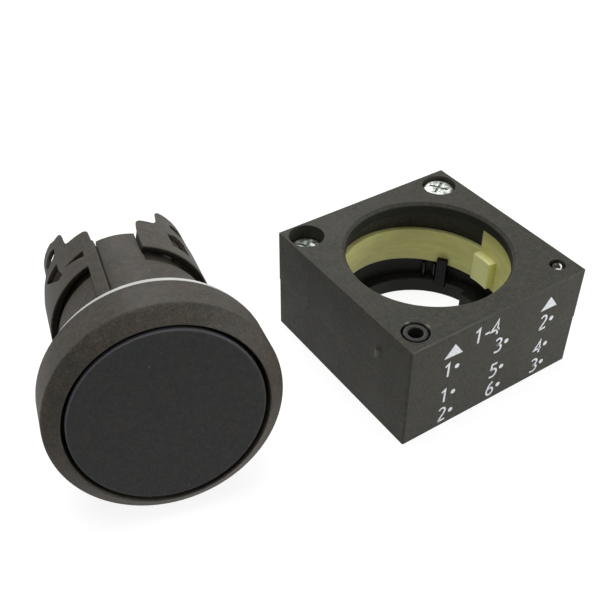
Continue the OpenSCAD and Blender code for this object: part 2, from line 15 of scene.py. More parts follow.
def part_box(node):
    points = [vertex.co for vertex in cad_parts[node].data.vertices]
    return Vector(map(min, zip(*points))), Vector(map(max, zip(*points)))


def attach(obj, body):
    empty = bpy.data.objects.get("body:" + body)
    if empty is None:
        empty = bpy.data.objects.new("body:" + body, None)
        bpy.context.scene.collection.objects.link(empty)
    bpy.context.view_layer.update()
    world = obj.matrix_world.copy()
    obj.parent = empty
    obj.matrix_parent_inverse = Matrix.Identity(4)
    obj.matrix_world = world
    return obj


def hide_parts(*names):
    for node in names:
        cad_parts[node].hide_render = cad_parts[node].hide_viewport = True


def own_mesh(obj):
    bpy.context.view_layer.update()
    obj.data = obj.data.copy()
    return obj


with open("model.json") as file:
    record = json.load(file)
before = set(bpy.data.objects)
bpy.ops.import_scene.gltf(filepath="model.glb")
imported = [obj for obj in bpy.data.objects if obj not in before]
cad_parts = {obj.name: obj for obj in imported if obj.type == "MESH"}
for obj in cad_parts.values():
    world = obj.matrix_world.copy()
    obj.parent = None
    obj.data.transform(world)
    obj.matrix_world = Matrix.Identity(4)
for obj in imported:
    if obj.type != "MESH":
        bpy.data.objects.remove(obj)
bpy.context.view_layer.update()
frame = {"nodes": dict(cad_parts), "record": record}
NODES = frame["nodes"]
RECORD = frame["record"]
MM = 0.001

# Camera, fitted to the photograph. What is nearer to it than CAMERA_NEAR, in metres, isn't seen
CAMERA_PLACE = Vector((-71.55, -75.33, 93.99)) * MM
CAMERA_TURN = (49.833, -0.058, -33.633)
CAMERA_LENS = 55.6
SENSOR_WIDTH = 36
CAMERA_NEAR = 0.005

# The holder's printed face: the front shell's side, and the rear shell's under it
FACE_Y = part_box("holder_front_shell")[0][1]
REAR_FACE_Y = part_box("holder_rear_shell")[0][1]
FACE_PART_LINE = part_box("holder_front_shell")[0][2]
INK_THICKNESS = 0.02 * MM

# The holder's bore stands upright on the origin
BORE_MIDDLE = (0, 0, 0)
UPWARD = (0, 0, 1)


def rgb(red, green, blue):
    """A colour given in the 0 to 255 steps of a picture, as linear light."""

    def linear(value):
        value /= 255
        return value / 12.92 if value <= 0.04045 else ((value + 0.055) / 1.055) ** 2.4

    return (linear(red), linear(green), linear(blue), 1)


def grey(level):
    """A grey of this much linear light."""
    return (level, level, level, 1)


def tint(colour, factors):
    """A colour with its red, green and blue each multiplied by a factor."""
    return tuple(channel * factor for channel, factor in zip(colour, factors)) + (1,)


def shade(colour, factor):
    """A colour made darker or paler."""
    return tint(colour, (factor, factor, factor))


# How far the neck's mount lies behind the head's front, and by how many degrees the middle of the
# upper slot is turned from straight up
NECK_DEPTH = 9.95 * MM
SLOT_MIDDLE = 1.0


def head_axes():
    """(the middle of the head's front, the way back, sideways, and up to the slot's middle)"""
    press = next(j for j in RECORD["behaviour"]["joints"] if j["name"] == "button_press")
    neck = next(m for m in RECORD["mounts"] if m["name"] == "panel_neck")
    back = Vector(press["axis"]).normalized()
    front = Vector(neck["pos_m"]) - back * NECK_DEPTH
    side = back.cross(Vector(UPWARD)).normalized()
    roll = Matrix.Rotation(math.radians(SLOT_MIDDLE), 3, back)
    return front, back, roll @ side, roll @ side.cross(back)


# Where the button's round edge begins, and how wide the band of painted highlight on it is
BUTTON_RIM = 11.5
BUTTON_RIM_WIDTH = 0.2
# Radii of the holder's bore wall and of the wider room below the ring, and that room's top
BORE_WALL = 11.53
ROOM_WALL = 13.0
ROOM_TOP = 7.0
# How much of a pale edge shows, which is partly wear and partly painted highlight, and how dark
# the painted shade on the holder's inner walls is
EDGE_SHOWN = 0.4
RING_EDGE_SHOWN = 0.35
INNER_SHADE = 0.24
# What the plastics' mottling multiplies their red, green and blue by
WARM_TINT = (1.16, 1.06, 0.98)
COOL_TINT = (0.84, 0.92, 0.94)
# Sizes of the plastics' mottling, blotches, gloss patches and pale specks, in mm
MOTTLE_SIZE = 1.9
BLOTCH_SIZE = 0.75
PATCH_SIZE = 5
SPECK_CELL = 1.6
SPECK_RADIUS = 0.11
# Radii to which edges look rounded, in mm
PLASTIC_EDGE = 0.18
RING_EDGE = 0.15
RUBBER_EDGE = 0.12
STEEL_EDGE = 0.08
# Painted highlights on the holder, on its small nub and at the mouth of the bush's hole, in mm: a
# place, how far it reaches, and how strong it is
HIGHLIGHT_PLACES = (
    ((-15.4, -8.6, 11.9), 0.9, 0.6),
    ((-11.95, -10.35, 16.6), 0.42, 1),
    ((-10.35, -12.1, 16.6), 0.55, 1),
)
# Its edges with painted highlight lines, from the near upper corner: the direction of each, how
# far the pale line reaches to each side in mm, how strong it is, and where it has faded out
HIGHLIGHT_EDGES = (((0, 1, 0), 0.26, 1, 30), ((1, 0, 0), 0.2, 0.7, 17), ((0, 0, -1), 0.2, 0.5, 12))


class Nodes:
    """A short way to add shader nodes to one material."""

    def __init__(self, name):
        self.material = bpy.data.materials.new(name)
        self.material.use_nodes = True
        self.tree = self.material.node_tree
        self.shader = self.tree.nodes["Principled BSDF"]
        self.place = self.add("ShaderNodeTexCoord").outputs["Object"]

    def add(self, kind, inputs=None, **settings):
        """A new node with these settings and inputs."""
        node = self.tree.nodes.new(kind)
        for key, value in settings.items():
            setattr(node, key, value)
        for key, value in (inputs or {}).items():
            self.set(node.inputs[key], value)
        return node

    def set(self, socket, value):
        """Links a socket to another one, or gives it a value."""
        if isinstance(value, bpy.types.NodeSocket):
            self.tree.links.new(value, socket)
        else:
            socket.default_value = value

    def noise(self, size_mm, detail=3.0, roughness=0.5, place=None):
        """Noise whose features are about size_mm wide."""
        inputs = {
            "Vector": place or self.place,
            "Scale": 1 / (size_mm * MM),
            "Detail": detail,
            "Roughness": roughness,
        }
        return self.add("ShaderNodeTexNoise", inputs).outputs["Fac"]

    def ramp(self, fac, stops):
        """Colours or greys between places from 0 to 1."""
        node = self.add("ShaderNodeValToRGB", {"Fac": fac})
        elements = node.color_ramp.elements
        while len(elements) < len(stops):
            elements.new(0.5)
        for element, (place, value) in zip(elements, stops):
            element.position = place
            element.color = value if hasattr(value, "__len__") else grey(value)
        return node.outputs["Color"]

    def mix(self, fac, a, b, blend="MIX"):
        """Two colours, mixed or blended."""
        node = self.add("ShaderNodeMix", data_type="RGBA", blend_type=blend)
        self.set(node.inputs["Factor"], fac)
        self.set(node.inputs[6], a)
        self.set(node.inputs[7], b)
        return node.outputs[2]

    def math(self, operation, a, b, clamp=False):
        """What an operation on two numbers gives."""
        node = self.add("ShaderNodeMath", operation=operation, use_clamp=clamp)
        self.set(node.inputs[0], a)
        self.set(node.inputs[1], b)
        return node.outputs[0]

    def specks(self, cell_mm, radius_mm, share):
        """Small round specks, in this share of the cells."""
        inputs = {"Vector": self.place, "Scale": 1 / (cell_mm * MM)}
        cells = self.add("ShaderNodeTexVoronoi", inputs)
        near = self.math("LESS_THAN", cells.outputs["Distance"], radius_mm / cell_mm)
        split = self.add("ShaderNodeSeparateColor", {"Color": cells.outputs["Color"]})
        chosen = self.math("LESS_THAN", split.outputs[0], share)
        return self.math("MULTIPLY", near, chosen)

    def vector(self, operation, a, b=(0, 0, 0)):
        """What a vector operation gives: a number or a vector."""
        node = self.add("ShaderNodeVectorMath", operation=operation)
        self.set(node.inputs[0], a)
        self.set(node.inputs[1], b)
        gives_number = operation in ("DOT_PRODUCT", "LENGTH", "DISTANCE")
        return node.outputs["Value" if gives_number else "Vector"]

    def from_axis(self, middle, axis):
        """Distance from an axis, in metres."""
        offset = self.vector("SUBTRACT", self.place, tuple(middle))
        return self.vector("LENGTH", self.vector("CROSS_PRODUCT", offset, tuple(axis)))

    def along(self, middle, direction):
        """How far along a direction, in metres."""
        offset = self.vector("SUBTRACT", self.place, tuple(middle))
        return self.vector("DOT_PRODUCT", offset, tuple(direction))

    def between(self, value, low, high):
        """0 to 1 as a length in metres goes from low to high, in mm."""
        inputs = {"Value": value, "From Min": low * MM, "From Max": high * MM}
        return self.add("ShaderNodeMapRange", inputs).outputs["Result"]

    def rounded_edges(self, radius_mm):
        """(a normal that rounds sharp edges, a mask that is 1 on them)"""
        rounded = self.add("ShaderNodeBevel", {"Radius": radius_mm * MM}, samples=4).outputs[0]
        plain = self.add("ShaderNodeNewGeometry").outputs["Normal"]
        bent = self.math("SUBTRACT", 1.0, self.vector("DOT_PRODUCT", rounded, plain))
        return rounded, self.math("MULTIPLY", bent, 6.0, clamp=True)

    def bump(self, height, depth_mm, strength, normal=None):
        """A normal that follows a height, up to depth_mm deep."""
        inputs = {"Height": height, "Distance": depth_mm * MM, "Strength": strength}
        if normal is not None:
            inputs["Normal"] = normal
        return self.add("ShaderNodeBump", inputs).outputs[0]

    def shade_with(self, **inputs):
        """Sets the shader's sockets, named with _ for a space, and gives the material."""
        for key, value in inputs.items():
            self.set(self.shader.inputs[key.replace("_", " ")], value)
        return self.material


def moulded_plastic(
    name, colour, edge, rough, grain_mm, gloss, specks=0.02, speck_colour=None, painted_highlight=None,
    painted_shade=None,
):
    """Matt moulded plastic: fine spark-eroded grain, soft mottling, pale edges, pale specks.

    The pale edges are partly wear and partly painted highlight. specks is the share of cells that
    hold one. The last two arguments, if given, each make a mask from the nodes: the first of
    painted highlights, the second of painted shade.
    """
    nodes = Nodes(name)
    stops = [(0.34, tint(colour, COOL_TINT)), (0.66, tint(colour, WARM_TINT))]
    mottle = nodes.ramp(nodes.noise(MOTTLE_SIZE, 5, 0.7), stops)
    grain = nodes.noise(grain_mm, 2, 0.6)
    fine = nodes.ramp(grain, [(0.25, 0.6), (0.75, 1.4)])
    blotches = nodes.ramp(nodes.noise(BLOTCH_SIZE, 2), [(0.3, 0.82), (0.7, 1.18)])
    base = nodes.mix(1.0, nodes.mix(1.0, mottle, fine, "MULTIPLY"), blotches, "MULTIPLY")
    normal, on_edge = nodes.rounded_edges(PLASTIC_EDGE)
    # Pale edges: partly wear, partly painted highlight
    base = nodes.mix(nodes.math("MULTIPLY", on_edge, EDGE_SHOWN), base, edge)
    # Painted shade on the inner walls that the mask gives
    if painted_shade:
        base = nodes.mix(painted_shade(nodes), base, shade(colour, INNER_SHADE))
    # Painted highlights where the mask gives them
    if painted_highlight:
        base = nodes.mix(painted_highlight(nodes), base, edge)
    if specks:
        chosen = nodes.specks(SPECK_CELL, SPECK_RADIUS, specks)
        base = nodes.mix(chosen, base, speck_colour or shade(colour, 3))
    patches = nodes.ramp(nodes.noise(PATCH_SIZE, 3), [(0.2, rough - 0.06), (0.8, rough + 0.06)])
    return nodes.shade_with(
        Base_Color=base,
        Roughness=patches,
        Specular_IOR_Level=gloss,
        Normal=nodes.bump(grain, 0.02, 0.6, normal),
    )


def painted_button_rim_highlight(nodes):
    """A painted highlight on the button's round edge, strongest up and to the left."""
    front, back, side, up = head_axes()
    rim = nodes.between(
        nodes.from_axis(front, back), BUTTON_RIM, BUTTON_RIM + BUTTON_RIM_WIDTH
    )
    near_face = nodes.between(nodes.along(front, back), 0.8, 0.3)
    lean = nodes.between(nodes.along(front, up - side), -6, 13)
    return nodes.math("MULTIPLY", nodes.math("MULTIPLY", rim, near_face), lean)


def painted_holder_highlights(nodes):
    """Painted highlights: the small nub, the mouth of the bush's hole, the near corner's edges."""
    low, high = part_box("holder_front_shell")
    corner = (low.x, low.y, high.z)
    highlight = 0.0
    for place, reach, strength in HIGHLIGHT_PLACES:
        near = nodes.vector("DISTANCE", nodes.place, tuple(Vector(place) * MM))
        spot = nodes.math("MULTIPLY", nodes.between(near, reach, 0.4 * reach), strength)
        highlight = nodes.math("MAXIMUM", highlight, spot)
    patchy = nodes.ramp(nodes.noise(2.4, 3), [(0.35, 0.45), (0.6, 1)])
    for direction, reach, strength, length in HIGHLIGHT_EDGES:
        line = nodes.between(nodes.from_axis(corner, direction), reach, 0.3 * reach)
        fading = nodes.between(nodes.along(corner, direction), length, 0)
        line = nodes.math("MULTIPLY", line, fading)
        line = nodes.math("MULTIPLY", nodes.math("MULTIPLY", line, patchy), strength)
        highlight = nodes.math("MAXIMUM", highlight, line)
    return highlight


def painted_bore_shade(nodes):
    """1 where shade is painted: on the bore's wall and all inner walls below the ring, else 0."""
    radius = nodes.from_axis(BORE_MIDDLE, UPWARD)
    low = nodes.between(nodes.along(BORE_MIDDLE, UPWARD), ROOM_TOP + 0.6, ROOM_TOP)
    in_room = nodes.between(radius, ROOM_WALL + 0.2, ROOM_WALL)
    below_ring = nodes.math("MULTIPLY", in_room, low)
    return nodes.math("MAXIMUM", below_ring, nodes.between(radius, BORE_WALL + 0.07, BORE_WALL))


# The ring's lugs reach inwards between these distances from the bore's axis, and get painted
# light that makes them paler
LUG_FROM = 11.8
LUG_TO = 10.9


def ring_plastic():
    """Yellow-green unfilled nylon: slightly milky, with flow marks round the ring."""
    nodes = Nodes("ring_plastic")
    colour = rgb(228, 226, 153)
    flattened = nodes.add("ShaderNodeMapping", {"Vector": nodes.place, "Scale": (1, 1, 5)})
    flow = nodes.noise(4, 4, 0.55, flattened.outputs[0])
    base = nodes.ramp(flow, [(0.3, shade(colour, 0.92)), (0.7, shade(colour, 1.08))])
    normal, on_edge = nodes.rounded_edges(RING_EDGE)
    # Pale edges: partly wear, partly painted highlight
    base = nodes.mix(nodes.math("MULTIPLY", on_edge, RING_EDGE_SHOWN), base, rgb(234, 232, 172))
    # Painted light on the lugs
    on_lug = nodes.between(nodes.from_axis(BORE_MIDDLE, UPWARD), LUG_FROM, LUG_TO)
    base = nodes.mix(on_lug, base, rgb(253, 254, 184))
    return nodes.shade_with(
        Base_Color=base,
        Roughness=nodes.ramp(nodes.noise(1.5), [(0.2, 0.38), (0.8, 0.52)]),
        Subsurface_Weight=0.5,
        Subsurface_Radius=(1.0, 0.9, 0.4),
        Subsurface_Scale=1.4 * MM,
        Normal=nodes.bump(nodes.noise(0.3, 2), 0.01, 0.5, normal),
    )


def plated_steel(name, colour, rough):
    """Bright zinc plate: a fine cloudy sheen over tumbled metal."""
    nodes = Nodes(name)
    cloud = nodes.noise(0.6, 4, 0.6)
    base = nodes.ramp(cloud, [(0.42, shade(colour, 0.36)), (0.54, shade(colour, 1.08))])
    normal, _ = nodes.rounded_edges(STEEL_EDGE)
    return nodes.shade_with(
        Base_Color=base,
        Metallic=1.0,
        Roughness=nodes.ramp(nodes.noise(0.6, 3), [(0.2, rough - 0.06), (0.8, rough + 0.1)]),
        Normal=nodes.bump(nodes.noise(0.8, 2), 0.03, 0.6, normal),
    )


def steel_with_painted_light(name, bright, dark, middle, directions):
    """Plated steel painted dark as shade, with painted highlights on its sides in these
    directions.

    Each direction comes with how far off the middle, in mm, the painted highlight begins.
    """
    nodes = Nodes(name)
    edge = 0.0
    for direction, start in directions:
        side = nodes.between(nodes.along(middle, direction), start, start + 0.2)
        edge = nodes.math("MAXIMUM", edge, side)
    ragged = nodes.math("ADD", edge, nodes.math("MULTIPLY", nodes.noise(0.4), 0.3), clamp=True)
    normal, _ = nodes.rounded_edges(STEEL_EDGE)
    return nodes.shade_with(
        Base_Color=nodes.ramp(ragged, [(0.35, dark), (0.65, bright)]),
        Metallic=1.0,
        Roughness=nodes.ramp(nodes.noise(0.4, 3), [(0.2, 0.2), (0.8, 0.34)]),
        Normal=nodes.bump(nodes.noise(0.25, 3), 0.01, 0.5, normal),
    )


# The clamp screw's tip has painted highlights in these directions, from this far off its middle in
# mm, and painted shade elsewhere
CLAMP_BRIGHT = (((0.83, -0.55, 0), 0.28), ((-0.55, -0.83, 0), 0.55))


def box_middle(node):
    """The middle of a CAD node's box."""
    low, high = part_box(node)
    return low.lerp(high, 0.5)


def soft_rubber(name, colour, rough, grain_mm):
    """Rubber or elastomer: dull, faintly dusty and finely pitted."""
    nodes = Nodes(name)
    dust = nodes.noise(3, 5, 0.6)
    base = nodes.ramp(dust, [(0.35, shade(colour, 0.9)), (0.75, shade(colour, 1.08))])
    normal, _ = nodes.rounded_edges(RUBBER_EDGE)
    return nodes.shade_with(
        Base_Color=base,
        Roughness=nodes.ramp(dust, [(0.2, rough - 0.08), (0.8, rough + 0.05)]),
        Normal=nodes.bump(nodes.noise(grain_mm, 3), 0.02, 0.5, normal),
    )


def printed_ink():
    """Pad-printed white ink, slightly uneven where the plastic's grain shows through."""
    nodes = Nodes("printed_ink")
    patch = nodes.noise(0.35, 3, 0.6)
    base = nodes.ramp(patch, [(0.3, rgb(200, 203, 208)), (0.6, rgb(238, 240, 244))])
    return nodes.shade_with(Base_Color=base, Roughness=0.55, Normal=nodes.bump(patch, 0.01, 0.5))


def make_materials():
    """The materials by finish. A plastic's two colours are its own and that of its pale edges and
    painted highlights.
    """
    return {
        # The holder: painted highlights, and painted shade on its inner walls
        "case": moulded_plastic(
            "case_plastic", rgb(55, 54, 48), rgb(118, 117, 110), rough=0.56, grain_mm=0.26,
            gloss=0.18, painted_highlight=painted_holder_highlights, painted_shade=painted_bore_shade,
        ),
        "head_case": moulded_plastic(
            "head_case_plastic", rgb(60, 56, 50), rgb(100, 96, 88), rough=0.56, grain_mm=0.26,
            gloss=0.18,
        ),
        # The button: a painted highlight on its rim
        "button": moulded_plastic(
            "button_plastic", rgb(38, 38, 38), rgb(120, 120, 126), rough=0.5, grain_mm=0.22,
            gloss=0.2, specks=0.03, speck_colour=rgb(70, 70, 72), painted_highlight=painted_button_rim_highlight,
        ),
        "bush": moulded_plastic(
            "bush_plastic", rgb(38, 38, 36), rgb(84, 84, 80), rough=0.42, grain_mm=0.2,
            gloss=0.25, specks=0,
        ),
        "ring": ring_plastic(),
        "steel": plated_steel("zinc_plated_steel", rgb(214, 219, 212), 0.42),
        "spring_wire": plated_steel("spring_wire", rgb(176, 176, 172), 0.22),
        "pins": plated_steel("dark_pins", rgb(52, 52, 50), 0.3),
        "brass": plated_steel("brass_insert", rgb(206, 178, 106), 0.32),
        "gasket": soft_rubber("gasket_rubber", rgb(200, 200, 196), 0.66, 0.3),
        "rubber": soft_rubber("black_rubber", rgb(40, 40, 42), 0.7, 0.2),
        # The clamp screw: painted highlights and painted shade
        "clamp": steel_with_painted_light(
            "clamp_screw_steel", rgb(222, 222, 219), rgb(66, 64, 58), box_middle("clamp_screw"),
            CLAMP_BRIGHT,
        ),
        "stop": moulded_plastic(
            "stop_plastic", rgb(14, 14, 15), rgb(36, 36, 38), rough=0.4, grain_mm=0.2,
            gloss=0.12, specks=0,
        ),
        "ink": printed_ink(),
    }


MATERIALS = make_materials()
NODE_FINISH = {
    "case": ["holder_front_shell", "holder_rear_shell"],
    "head_case": ["front_bezel", "barrel", "latch_wing_left", "latch_wing_right"],
    "bush": ["locating_bush"],
    "clamp": ["clamp_screw"],
    "button": ["button_cap", "plunger"],
    "ring": ["lock_ring"],
    "steel": ["shell_screw_far", "shell_screw_left", "clamp_nut", "return_spring"],
    "pins": ["detent_pins"],
    "brass": ["screw_inserts"],
    "gasket": ["panel_gasket"],
    "rubber": ["bezel_seal", "piston_seal"],
    "stop": ["stop_block"],
}


# Edges of CAD nodes and of turned rings that bend by more than this stay sharp
CAD_SHARP_DEG = 32
RING_SHARP_DEG = 40


def finish_cad_nodes():
    """Gives every CAD node its material."""
    for finish, names in NODE_FINISH.items():
        for name in names:
            slots = NODES[name].data.materials
            slots.clear()
            slots.append(MATERIALS[finish])


def smooth_cad_nodes():
    """Curved faces shade smooth, and sharper edges stay crisp."""
    for node in NODES.values():
        node.data.shade_smooth()
        node.data.set_sharp_from_angle(angle=math.radians(CAD_SHARP_DEG))


def new_piece(name, mesh, finish, sharp_deg=None):
    """Makes a piece of a bmesh, which shades smooth where sharp_deg is given."""
    data = bpy.data.meshes.new(name)
    mesh.to_mesh(data)
    mesh.free()
    if sharp_deg:
        data.shade_smooth()
        data.set_sharp_from_angle(angle=math.radians(sharp_deg))
    piece = bpy.data.objects.new(name, data)
    bpy.context.scene.collection.objects.link(piece)
    piece.data.materials.append(MATERIALS[finish])
    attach(piece, "base")
    return piece


def skin(mesh, rows, closed=False):
    """Faces between rows of corners that go round a section, and an end on each side.

    A closed skin goes back to its first row, and has no ends.
    """
    next_rows = rows[1:] + rows[:1] if closed else rows[1:]
    for row, following in zip(rows, next_rows):
        for i in range(len(row)):
            j = (i + 1) % len(row)
            mesh.faces.new((row[i], following[i], following[j], row[j]))
    if not closed:
        mesh.faces.new(rows[0])
        mesh.faces.new(reversed(rows[-1]))


def face_depth(z):
    """Where the printed face is at a height in mm: the rear shell stands back a little."""
    return FACE_Y if z * MM > FACE_PART_LINE else REAR_FACE_Y


# Figures as pen strokes in a box one high. A curved stroke runs smoothly through its points
STROKES = {
    "1": [("straight", [(0.02, 0.84), (0.27, 1), (0.25, 0)])],
    "2": [
        ("curved", [(0.02, 0.86), (0.14, 0.98), (0.33, 0.97), (0.45, 0.8), (0.4, 0.58),
                    (0.2, 0.28), (0.02, 0.03)]),
        ("straight", [(0, 0), (0.5, 0)]),
    ],
    "3": [
        ("curved", [(0.03, 0.93), (0.2, 1), (0.39, 0.94), (0.46, 0.78), (0.37, 0.6),
                    (0.15, 0.53)]),
        ("curved", [(0.15, 0.53), (0.38, 0.48), (0.5, 0.28), (0.42, 0.07), (0.22, 0),
                    (0, 0.06)]),
    ],
    "4": [("straight", [(0.42, 0), (0.42, 1), (0, 0.34), (0.56, 0.34)])],
    "5": [
        ("straight", [(0.5, 1), (0.12, 1), (0.08, 0.57)]),
        ("curved", [(0.08, 0.57), (0.28, 0.61), (0.46, 0.5), (0.5, 0.28), (0.4, 0.07), (0.2, 0),
                    (0, 0.05)]),
    ],
    "6": [
        ("curved", [(0.42, 0.99), (0.22, 0.86), (0.06, 0.58), (0.01, 0.28), (0.1, 0.06), (0.26, 0),
                    (0.43, 0.09), (0.49, 0.29), (0.41, 0.48), (0.25, 0.55), (0.08, 0.46)]),
    ],
    "-": [("straight", [(0, 0.4), (0.33, 0.4)])],
}


def run_smoothly(points, steps=6):
    """More points along a smooth curve through the points given."""
    ends = [points[0]] + list(points) + [points[-1]]
    curve = []
    for a, b, c, d in zip(ends, ends[1:], ends[2:], ends[3:]):
        for i in range(steps):
            t = i / steps
            curve.append(tuple(
                0.5 * (2 * q + (r - p) * t + (2 * p - 5 * q + 4 * r - s) * t**2
                       + (3 * q - p - 3 * r + s) * t**3)
                for p, q, r, s in zip(a, b, c, d)
            ))
    return curve + [points[-1]]


def stroke_outline(points, width):
    """The two sides of a pen stroke through points, with mitred bends and square ends."""
    steps = [Vector(b) - Vector(a) for a, b in zip(points, points[1:])]
    across = [Vector((-step.y, step.x)).normalized() for step in steps]
    sides = []
    for i, point in enumerate(points):
        before = across[max(0, i - 1)]
        after = across[min(i, len(across) - 1)]
        middle = (before + after).normalized()
        middle *= width / 2 / max(0.45, middle.dot(after))
        sides.append((Vector(point) + middle, Vector(point) - middle))
    return sides


def add_figure(mesh, figure, x, z, height, width):
    """Adds a printed figure to a bmesh, its lower left corner at (x, z) in mm on the face."""
    for kind, points in STROKES[figure]:
        if kind == "curved":
            points = run_smoothly(points)
        points = [(x + across * height, z + up * height) for across, up in points]
        rows = []
        for left, right in stroke_outline(points, width):
            section = ((left, INK_THICKNESS), (right, INK_THICKNESS), (right, 0), (left, 0))
            rows.append([
                mesh.verts.new((px * MM, face_depth(pz) - ink, pz * MM))
                for (px, pz), ink in section
            ])
        skin(mesh, rows)


def add_patch(mesh, corners, face):
    """Adds a flat patch of ink to a bmesh: its corners (x, z) in mm, and the face's depth."""
    skin(mesh, [
        [mesh.verts.new((x * MM, depth, z * MM)) for x, z in corners]
        for depth in (face - INK_THICKNESS, face)
    ])


def add_disc(mesh, x, z, radius, sides=20):
    """Adds a printed dot to a bmesh, its centre at (x, z) in mm on the face."""
    turns = [2 * math.pi * i / sides for i in range(sides)]
    corners = [(x + radius * math.cos(turn), z + radius * math.sin(turn)) for turn in turns]
    add_patch(mesh, corners, face_depth(z))


# Rows and columns of the printed contact numbers: a dot, with its figure to the left
DOT_COLUMNS = (-7, 1.61, 9.92)
DOT_ROWS = (10.37, 5.65, 2.16)
DOT_FIGURES = (("1", "3", "2"), ("1", "5", "4"), ("2", "6", "3"))
DOT_RADIUS = 0.39
FIGURE_HEIGHT = 2.35
FIGURE_LEFT = 2.06
FIGURE_DROP = 1.22
FIGURE_STROKE = 0.32
# The panel thicknesses that the holder clamps, printed larger: each figure with its left side
RANGE_FIGURES = (("1", -4.45), ("-", -2.7), ("4", -1.62))
RANGE_LOW = 12.66
RANGE_HEIGHT = 2.5
TRIANGLES = (
    ((-9.46, 12.71), (-6.35, 12.53), (-7.83, 14.62)),
    ((7.4, 12.64), (10.4, 12.57), (8.94, 14.6)),
)


def print_marks():
    """The white figures, dots and triangles on the holder's face."""
    numbers = bmesh.new()
    dots = bmesh.new()
    for z, row in zip(DOT_ROWS, DOT_FIGURES):
        for x, figure in zip(DOT_COLUMNS, row):
            left, low = x - FIGURE_LEFT, z - FIGURE_DROP
            add_figure(numbers, figure, left, low, FIGURE_HEIGHT, FIGURE_STROKE)
            add_disc(dots, x, z, DOT_RADIUS)
    for figure, left in RANGE_FIGURES:
        add_figure(numbers, figure, left, RANGE_LOW, RANGE_HEIGHT, FIGURE_STROKE)
    triangles = bmesh.new()
    for corners in TRIANGLES:
        add_patch(triangles, corners, FACE_Y)
    prints = {
        "printed_numbers": numbers,
        "printed_dots": dots,
        "printed_triangles": triangles,
    }
    for name, mesh in prints.items():
        bmesh.ops.recalc_face_normals(mesh, faces=mesh.faces)
        new_piece(name, mesh, "ink")


# Tongues between the barrel's core and the wings, behind the wings' lower windows. Each corner of
# their section is a radius and a depth behind the head's front, and they reach further back on one
# half of each wing
TONGUE_IN = 9.42
TONGUE_OUT = 9.86
TONGUE_TIP_OUT = 10.28
TONGUE_FRONT = 24
TONGUE_STEP = 28.7
TONGUE_BEVEL = 0.5
TONGUE_BACKS = {1: 35.4, -1: 33}
# Each runs between these angles, in degrees to each side of the way up or down, in steps
TONGUE_FROM = 44
TONGUE_TO = 83
TONGUE_STEPS = 16


def add_tongues():
    """Four thin curved walls that stand between the core and the wings."""
    front, back, side, up = head_axes()
    mesh = bmesh.new()
    for mirror, tongue_back in TONGUE_BACKS.items():
        section = (
            (TONGUE_IN, TONGUE_FRONT), (TONGUE_OUT, TONGUE_FRONT), (TONGUE_OUT, TONGUE_STEP),
            (TONGUE_TIP_OUT, TONGUE_STEP + TONGUE_BEVEL), (TONGUE_TIP_OUT, tongue_back),
            (TONGUE_IN, tongue_back),
        )
        for turn in (0, 180):
            rows = []
            for i in range(TONGUE_STEPS + 1):
                spread = TONGUE_FROM + (TONGUE_TO - TONGUE_FROM) * i / TONGUE_STEPS
                angle = math.radians(turn + mirror * spread)
                outward = up * math.cos(angle) + side * math.sin(angle)
                rows.append([
                    mesh.verts.new(front + (back * depth + outward * radius) * MM)
                    for radius, depth in section
                ])
            skin(mesh, rows)
    bmesh.ops.recalc_face_normals(mesh, faces=mesh.faces)
    new_piece("wing_tongues", mesh, "head_case")


# The panel gasket: a moulded ring that has crept a little off the neck's axis, sideways and up.
# Its front and back are depths behind the head's front
GASKET_RADIUS = 13.78
GASKET_HOLE = 11.32
GASKET_FRONT = 6.82
GASKET_BACK = 8.1
GASKET_ROUND = 0.12
GASKET_SIDES = 120
GASKET_CREEP = (0.16, 0.12)
# Faces round each of a ring's round edges
ROUNDING_STEPS = 3


def rounded_section(inner, outer, low, high, rounding):
    """The section of a ring with round edges: pairs of a radius and a height."""
    section = []
    for radius, height, outward, upward, start in (
        (inner, low, 1, 1, 180), (outer, low, -1, 1, 270), (outer, high, -1, -1, 0),
        (inner, high, 1, -1, 90),
    ):
        across, along = radius + outward * rounding, height + upward * rounding
        for i in range(ROUNDING_STEPS + 1):
            turn = math.radians(start + 90 * i / ROUNDING_STEPS)
            corner = (across + rounding * math.cos(turn), along + rounding * math.sin(turn))
            section.append(corner)
    return section


def turned_ring(name, finish, section, middle, axis, sides):
    """A ring turned from a section in mm about an axis."""
    axis = Vector(axis)
    first = axis.orthogonal().normalized()
    second = axis.cross(first)
    mesh = bmesh.new()
    rows = []
    for i in range(sides):
        angle = 2 * math.pi * i / sides
        outward = first * math.cos(angle) + second * math.sin(angle)
        rows.append([mesh.verts.new(middle + (axis * h + outward * r) * MM) for r, h in section])
    skin(mesh, rows, closed=True)
    bmesh.ops.recalc_face_normals(mesh, faces=mesh.faces)
    return new_piece(name, mesh, finish, sharp_deg=RING_SHARP_DEG)


def mould_gasket():
    """The gasket, in place of the CAD's sharp one."""
    front, back, side, up = head_axes()
    middle = front + (side * GASKET_CREEP[0] + up * GASKET_CREEP[1]) * MM
    section = rounded_section(
        GASKET_HOLE, GASKET_RADIUS, GASKET_FRONT, GASKET_BACK, GASKET_ROUND
    )
    gasket = turned_ring("gasket_ring", "gasket", section, middle, back, GASKET_SIDES)
    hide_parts("panel_gasket")


# The hollow locating bush, with worn edges, its top a little lower than the CAD's
BUSH_RADIUS = 1.58
BUSH_HOLE = 1.0
BUSH_ROUND = 0.14
BUSH_LOWER = 0.05
BUSH_SIDES = 64
# Moulding flash round the mouth of its hole, its top a little lower than the CAD bush's
FLASH_INNER = 1.9
FLASH_OUTER = 2.22
FLASH_HEIGHT = 0.5
FLASH_ROUND = 0.08
FLASH_LOWER = 0.01


